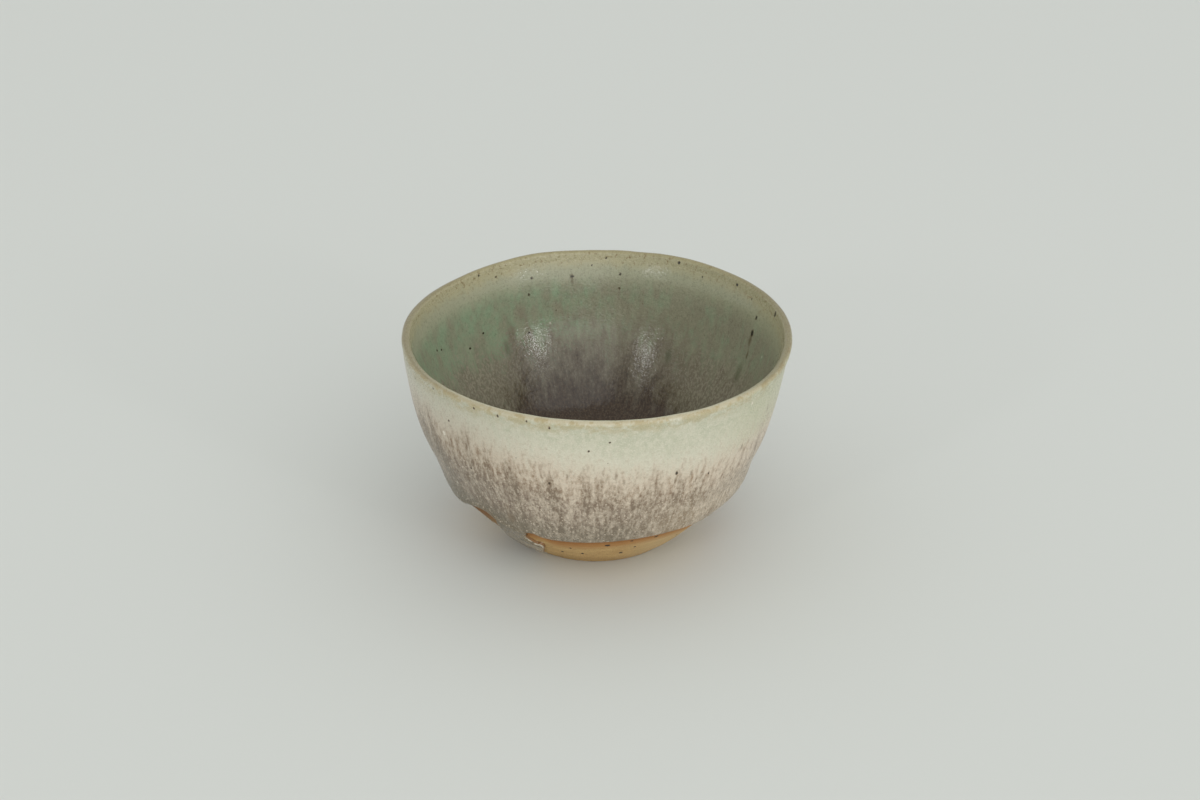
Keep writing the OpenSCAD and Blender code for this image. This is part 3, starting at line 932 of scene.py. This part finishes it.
def outside_colour(g):
    """Pale grey-green, cream, then pinkish cream streaked and mottled with mauve brown."""
    twice_cos = g.minus(g.times(g.front, g.front), g.times(g.right, g.right))
    twice_sin = g.times(g.right, g.front, 2)
    # Height where the mauve begins: lowest right of the front, highest at the left
    swing = (g.times(twice_cos, -ONSET_SWING * ONSET_COS), g.times(twice_sin, -ONSET_SWING * ONSET_SIN))
    onset = g.sum(ONSET_H, *swing)
    broad = g.noise(g.flow(0.12), 0.35, 2, 0.5)
    streak = g.noise(g.flow(0.24), 1.35)
    mottle = g.noise(g.flow(0.5), 2, 3, 0.62)
    grain = g.noise(g.place, 4.2, 2)
    cloud = g.noise(g.place, 0.8)
    depth = g.sum(g.minus(onset, g.z), g.spread(broad, 4), g.spread(streak, 7))
    # Painted shade on the left side of the outside: this mask raises the mauve share and darkens the low
    # left and the whole left side
    left = g.ramp(g.right, -0.15, -0.85)
    far_right = g.ramp(g.right, 0.4, 0.97)
    low = g.times(g.ramp(g.z, 20.5, 13.5), g.ramp(g.right, 0.05, 0.6, 1, 0.1))
    body = g.sum(g.ramp(depth, -4, 8, 0, 0.66), g.ramp(depth, 8, 19, 0, 0.14))
    body = g.sum(body, g.times(left, g.ramp(depth, 0, 6), 0.18), g.times(far_right, -0.1))
    uneven = g.sum(g.spread(mottle, 1.8), g.spread(streak, 1.6), g.spread(broad, 0.8), g.spread(grain, 1.1))
    dark_share = g.sum(body, g.times(uneven, g.ramp(depth, -6, 5, 0.15)))
    green_grey = g.between(g.ramp(cloud, 0.4, 0.62), (188, 188, 165), (200, 197, 176))
    pale = g.tint(green_grey, (207, 203, 183), g.ramp(depth, -9, -3))
    pale = g.tint(pale, (208, 192, 172), g.ramp(depth, -5.5, 1.5), 0.9)
    side = g.times(g.ramp(g.right, 0.55, 0.97), g.ramp(g.z, 27, 33), 0.6)
    pale = g.tint(pale, (171, 173, 135), side)
    crystals = g.times(g.ramp(mottle, 0.5, 0.64), g.ramp(depth, -9, -4), 0.45)
    pale = g.tint(pale, (188, 177, 156), crystals)
    pale = g.tint(pale, (218, 214, 198), g.ramp(grain, 0.52, 0.68, 0, 0.6))
    dark = g.between(g.ramp(depth, 1, 10), (147, 118, 90), (128, 110, 94))
    dark = g.tint(dark, (124, 109, 90), g.ramp(broad, 0.4, 0.6), 0.6)
    dark = g.tint(dark, (112, 102, 85), low, 0.7)
    dark = g.tint(dark, (160, 141, 114), g.ramp(g.right, 0.1, 0.6), g.ramp(g.z, 26, 16), 0.55)
    colour = g.mix(g.ramp(dark_share, 0.08, 1, 0, 1, "LINEAR"), pale, dark)
    colour = g.tint(colour, (136, 128, 111), low, 0.25)
    # Painted shade on the low left and over the whole left side
    colour = g.tint(colour, (108, 97, 78), low, left, 0.8)
    colour = g.tint(colour, (100, 98, 80), left, 0.2)
    freckle, shade = g.cells(g.flow(0.8), 1.6)
    freckled = g.times(g.ramp(freckle, 0.34, 0.12), g.ramp(shade[0], 0.22, 0.45), g.ramp(depth, 2, 7))
    colour = g.tint(colour, (214, 199, 179), freckled, 0.7)
    tails = g.ramp(g.spots(OUTSIDE_TAILS, "outside"), 0, 0.8)
    colour = g.tint(colour, (114, 94, 70), tails, 0.55)
    colour = g.tint(colour, (222, 214, 198), g.ramp(g.spots(OUTSIDE_PALE, "outside"), 0.1, 0.5), 0.9)
    edge = g.times(g.ramp(g.layer("above_line"), 1.2, 0.2), 0.35)
    return g.tint(colour, (118, 110, 88), edge), g.sum(g.times(mottle, 0.7), g.times(streak, 0.3))


def inside_colour(g):
    """Olive under the lip, celadon and grey-green on the wall, mottled mauve grey, dark on the floor."""
    broad = g.noise(g.flow(0.35, INSIDE_FLOW_R), 0.18, 2, 0.5)
    cloud = g.noise(g.flow(0.5, INSIDE_FLOW_R), 0.65)
    streak = g.noise(g.flow(0.15, INSIDE_FLOW_R), 1.1)
    mottle = g.noise(g.flow(0.6, INSIDE_FLOW_R), 2.6, 3, 0.65)
    grain = g.noise(g.place, 4.5, 2)
    back = g.ramp(g.sum(g.ramp(g.front, -0.55, -1), g.ramp(g.z, 15, 8.5)), 0, 1)
    leftward = g.ramp(g.right, 0.7, -0.1)
    green_side = g.ramp(g.right, 0.15, -0.65)
    patch = g.noise(g.flow(0.45, INSIDE_FLOW_R), 0.42)
    height = g.sum(g.z, g.spread(broad, 9), g.spread(cloud, 14), g.spread(streak, 9))
    green_side = g.sum(g.times(green_side, 0.7), g.spread(patch, 3.2), g.spread(streak, 1.4), 0.12)
    green = g.between(green_side, (133, 130, 109), (134, 152, 123))
    green = g.tint(green, (140, 139, 116), g.ramp(cloud, 0.42, 0.62), 0.5)
    below_lip = g.sum(g.times(g.layer("from_lip"), -1), g.spread(cloud, 3))
    # Painted light: the band under the lip is lighter towards the left, on the inner wall where light from
    # the right falls
    under_lip = g.between(leftward, (148, 149, 122), (160, 160, 134))
    colour = g.mix(g.ramp(below_lip, 8.5, 4), green, under_lip)
    upper = g.between(leftward, (160, 155, 122), (175, 168, 134))
    colour = g.mix(g.ramp(below_lip, 4.4, 1.6), colour, upper)
    mauve = g.between(g.ramp(mottle, 0.38, 0.62), (116, 107, 92), (142, 136, 117))
    # Painted shade at the back of the bowl: the mauve is darkened there to damp the window lamp's
    # reflection
    mauve = g.tint(mauve, (99, 88, 70), back, 0.6)
    mauve_share = g.sum(g.ramp(height, 36, 20), g.spread(mottle, 1.6), g.spread(grain, 0.8))
    colour = g.mix(g.ramp(mauve_share, 0.3, 1), colour, mauve)
    deep = g.between(g.ramp(mottle, 0.38, 0.62), (56, 39, 22), (74, 56, 37))
    deep_from = g.sum(height, g.times(back, -8), g.spread(mottle, 3.5))
    deep_share = g.ramp(deep_from, 17, 5)
    colour = g.mix(deep_share, colour, deep)
    fine = g.sum(g.spread(mottle, 0.9), g.spread(grain, 0.9))
    fine = g.times(fine, g.ramp(height, 14, 32, 0.4, 1))
    colour = g.tint(colour, (162, 160, 138), g.ramp(fine, 0.02, 0.4, 0, 0.5, "LINEAR"))
    colour = g.tint(colour, (74, 68, 52), g.ramp(fine, -0.02, -0.4, 0, 0.5, "LINEAR"))
    flecks = g.noise(g.place, 1.3, 3, 0.7)
    fleck_share = g.times(g.ramp(flecks, 0.56, 0.65), g.ramp(below_lip, 5, 1))
    colour = g.tint(colour, (118, 97, 60), fleck_share, 0.7)
    streaks = g.ramp(g.spots(INSIDE_STREAKS, "inside"), 0, 0.9)
    colour = g.tint(colour, (74, 84, 58), streaks, 0.5)
    tails = g.ramp(g.spots(INSIDE_TAILS, "inside"), 0, 0.8)
    colour = g.tint(colour, (78, 64, 38), tails, 0.65)
    pale = g.ramp(g.spots(INSIDE_PALE, "inside"), 0.1, 0.5)
    return g.tint(colour, (190, 186, 168), pale, 0.8), mottle


def lip_colour(g, colour):
    """Ochre where the glaze thins to the lip: a thin line along it, and soft patches outside it."""
    from_lip = g.layer("from_lip")
    patches = g.noise(g.flow(1.6), 0.42)
    flecks = g.noise(g.place, 1.5, 3, 0.65)
    broken = g.sum(patches, g.spread(flecks, 0.35))
    front = g.ramp(g.front, 0, 0.8)
    reach = g.sum(from_lip, g.spread(flecks, -2.2), g.spread(patches, -2))
    band = g.times(g.ramp(reach, 3.8, 0.8), g.ramp(broken, 0.38, 0.58), g.ramp(from_lip, 0.1, 0.6))
    colour = g.mix(g.times(band, 0.62), colour, g.between(front, (158, 145, 106), (174, 160, 120)))
    crest = g.times(g.ramp(g.sum(from_lip, g.spread(flecks, 1.2)), -1.1, -0.1), g.ramp(from_lip, 0.5, 0.1))
    colour = g.tint(colour, (134, 123, 84), crest, g.minus(1, front), 0.7)
    sides = g.ramp(g.times(g.right, g.right), 0.4, 0.85)
    inner_half = g.times(g.ramp(from_lip, -0.8, -0.35), g.ramp(from_lip, 0.6, 0.2))
    near = g.times(g.ramp(from_lip, -0.1, 0.25), g.ramp(g.sum(from_lip, g.spread(flecks, -0.8)), 1.1, 0.4))
    line = g.between(front, (136, 127, 92), (184, 173, 144))
    line = g.mix(g.ramp(broken, 0.46, 0.6), line, g.between(front, (126, 108, 72), (168, 152, 114)))
    # Painted shade: the line along the lip is darkened towards the left
    line = g.tint(line, (138, 126, 92), g.ramp(g.right, -0.1, -0.95), 0.55)
    colour = g.mix(g.times(near, 0.85), colour, line)
    return g.tint(colour, (122, 113, 80), inner_half, sides, 0.6)


def iron_specks(g, colour, spots, surface):
    """Dark iron specks that burst through the glaze, each with a faint brown ring."""
    near = g.spots(spots, surface)
    ring, core = SPECK_COLOURS[surface]
    colour = g.tint(colour, ring, g.ramp(near, 0, 0.25), 0.6)
    return g.tint(colour, core, g.ramp(near, 0.22, 0.5))


def small_specks(g, colour):
    """Tiny iron specks thinly scattered everywhere."""
    distance, shade = g.cells(g.place, 0.28)
    spot = g.times(g.ramp(distance, 0.045, 0.02), g.ramp(shade[0], 0.62, 0.66))
    return g.tint(colour, (70, 56, 42), spot, 0.8)


def glaze_finish(g, colour, mottle, rough, smooth_spots, bumps):
    fine = g.noise(g.place, 1.7, 2, 0.5)
    grit = g.noise(g.place, 3.6, 2, 0.5)
    height = g.sum(fine, g.times(grit, 0.2), g.times(mottle, 0.3))
    colour = small_specks(g, colour)
    rough = g.ramp(grit, 0.35, 0.65, smooth_spots, rough, "LINEAR")
    return g.finish(colour, rough, g.bumped(height, bumps))


def inside_glaze_material():
    g = Graph("inside_ash_glaze")
    colour, mottle = inside_colour(g)
    g.put(g.shader.inputs["Specular IOR Level"], 0.38)
    colour = iron_specks(g, lip_colour(g, colour), INSIDE_SPECKS, "inside")
    return glaze_finish(g, colour, mottle, 0.2, 0.11, 0.05)


def outside_glaze_material():
    g = Graph("outside_ash_glaze")
    colour, mottle = outside_colour(g)
    colour = iron_specks(g, lip_colour(g, colour), OUTSIDE_SPECKS, "outside")
    return glaze_finish(g, colour, mottle, 0.4, 0.24, 0.11)


def lip_glaze_material():
    """Both sides' colours, which meet on the top of the lip."""
    g = Graph("lip_ash_glaze")
    outside, outside_mottle = outside_colour(g)
    inside, inside_mottle = inside_colour(g)
    side = g.ramp(g.layer("from_lip"), -0.25, 0.25)
    colour = lip_colour(g, g.mix(side, inside, outside))
    colour = iron_specks(g, colour, INSIDE_SPECKS, "inside")
    colour = iron_specks(g, colour, OUTSIDE_SPECKS, "outside")
    return glaze_finish(g, colour, g.blend(side, inside_mottle, outside_mottle), 0.4, 0.22, 0.1)


def run_material():
    """The outside's glaze where it ran thick and glassy, greyer and clearer towards its tip."""
    g = Graph("pooled_ash_glaze")
    colour, _ = outside_colour(g)
    streak = g.noise(g.flow(0.25), 1.8)
    pooled = g.between(g.ramp(streak, 0.36, 0.64), (119, 108, 89), (150, 137, 114))
    colour = g.mix(g.ramp(g.z, 12.5, 9.5), colour, pooled)
    tip = g.times(g.ramp(g.right, -0.66, -0.6), g.ramp(g.z, 7.5, 5.5), 0.7)
    colour = g.tint(colour, (172, 155, 126), tip)
    inward = g.layer("inward")
    rolled = g.times(g.ramp(g.right, -0.6, -0.56), g.ramp(g.z, 10.6, 9.8), g.ramp(g.z, 6.2, 6.8))
    # Painted shadow: the rolled right edge of the run is darkened just inside its highlight line
    colour = g.tint(colour, (104, 94, 76), rolled, g.ramp(inward, 0.9, 0.5), 0.5)
    colour = g.tint(colour, (140, 104, 66), g.ramp(inward, 0.22, 0.1))
    grain = g.noise(g.place, 2.2, 2)
    # Painted highlight: a pale line along the rolled right edge of the run
    painted_glint_line = g.times(rolled, g.ramp(inward, 0.14, 0.2), g.ramp(inward, 0.4, 0.3),
                        g.ramp(grain, 0.35, 0.5))
    colour = g.tint(colour, (214, 206, 188), painted_glint_line, 0.7)
    rough = g.ramp(g.z, 13, 10, 0.42, 0.18)
    return g.finish(colour, rough, g.bumped(g.noise(g.place, 1.7), 0.08))


def clay_material():
    """Bare tan clay with turning lines, flashed orange beside the glaze."""
    g = Graph("bare_stoneware")
    ring = g.vector("MULTIPLY", g.way, (1.6, 1.6, 0))
    turned = g.add("ShaderNodeCombineXYZ", 0, 0, g.times(g.layer("along"), 2.2)).outputs[0]
    lines = g.noise(g.vector("ADD", ring, turned), 1)
    cloud = g.noise(g.place, 0.35)
    grain = g.noise(g.place, 4, 2)
    colour = g.between(g.ramp(lines, 0.36, 0.64), (178, 145, 92), (201, 168, 113))
    colour = g.tint(colour, (180, 140, 88), g.ramp(cloud, 0.42, 0.66), 0.45)
    colour = g.tint(colour, (206, 178, 130), g.ramp(grain, 0.52, 0.68), 0.5)
    colour = g.tint(colour, (138, 106, 64), g.ramp(grain, 0.48, 0.32), 0.5)
    colour = g.tint(colour, (206, 184, 144), g.ramp(g.right, 0.15, 0.6, 0, 0.4))
    ragged = g.sum(g.layer("below_line"), g.spread(cloud, 1.6), g.spread(lines, 0.8))
    colour = g.tint(colour, (174, 123, 66), g.ramp(ragged, 7, 3.6), 0.9)
    colour = g.tint(colour, (150, 97, 43), g.ramp(ragged, 4.4, 2), 0.8)
    shaded = g.times(g.ramp(g.right, -0.64, -0.72), g.ramp(g.front, 0.2, 0.45), 0.7)
    colour = g.tint(colour, (106, 76, 44), shaded)
    specks = g.spots(CLAY_SPECKS, "underside")
    colour = g.tint(colour, (120, 84, 50), g.ramp(specks, 0, 0.25), 0.5)
    colour = g.tint(colour, (48, 36, 27), g.ramp(specks, 0.12, 0.36))
    colour = small_specks(g, colour)
    rough = g.ramp(grain, 0.3, 0.7, 0.7, 0.84, "LINEAR")
    return g.finish(colour, rough, g.bumped(g.sum(lines, g.times(grain, 0.7)), 0.1))


# Floor, light and camera

def floor():
    mesh = bpy.data.meshes.new("floor")
    corners = [(x * FLOOR_HALF, y * FLOOR_HALF, 0) for x, y in ((-1, -1), (1, -1), (1, 1), (-1, 1))]
    mesh.from_pydata(corners, [], [(0, 1, 2, 3)])
    g = Graph("pale_floor")
    g.put(g.shader.inputs["Base Color"], srgb(210, 212, 207))
    g.put(g.shader.inputs["Roughness"], 0.8)
    mesh.materials.append(g.material)
    added("floor", mesh)


def aim(thing, place, target):
    thing.location = place
    thing.rotation_euler = (target - place).to_track_quat("-Z", "Y").to_euler()


def soft_lamp(name, way, size, power):
    data = bpy.data.lights.new(name, "AREA")
    data.shape = "DISK"
    data.size = size
    data.energy = power
    aim(added(name, data), Vector(way).normalized() * LAMP_AWAY, Vector((0, 0, 0)))


def lights():
    world = bpy.data.worlds.new("studio")
    world.use_nodes = True
    background = world.node_tree.nodes["Background"]
    background.inputs["Color"].default_value = SKY_COLOUR
    background.inputs["Strength"].default_value = SKY_STRENGTH
    SCENE.world = world
    for lamp in LAMPS:
        soft_lamp(*lamp)


def camera():
    data = bpy.data.cameras.new("camera")
    data.lens = CAMERA_LENS
    SCENE.camera = added("camera", data)
    aim(SCENE.camera, Vector(CAMERA_PLACE), Vector(CAMERA_AIM))


def dress(piece, node):
    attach(piece, "root")
    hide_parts(node)


def cup():
    skin = glaze_skin()
    lip_in, lip_out, end = skin["lip_in"], skin["lip_out"], skin["end"]
    bowl = coat_piece("bowl_glaze", skin, 0, lip_in, inside_glaze_material(), True)
    lip = coat_piece("lip_glaze", skin, lip_in, lip_out, lip_glaze_material(), False)
    wall = coat_piece("wall_glaze", skin, lip_out, end, outside_glaze_material(), False)
    dress(clay_piece(clay_material()), "clay_body")
    dress(bowl, "inner_glaze")
    dress(lip, "rim_glaze")
    dress(wall, "outer_glaze")
    dress(run_piece(run_material()), "glaze_run")


floor()
lights()
camera()
cup()
SCENE.view_settings.view_transform = "Standard"
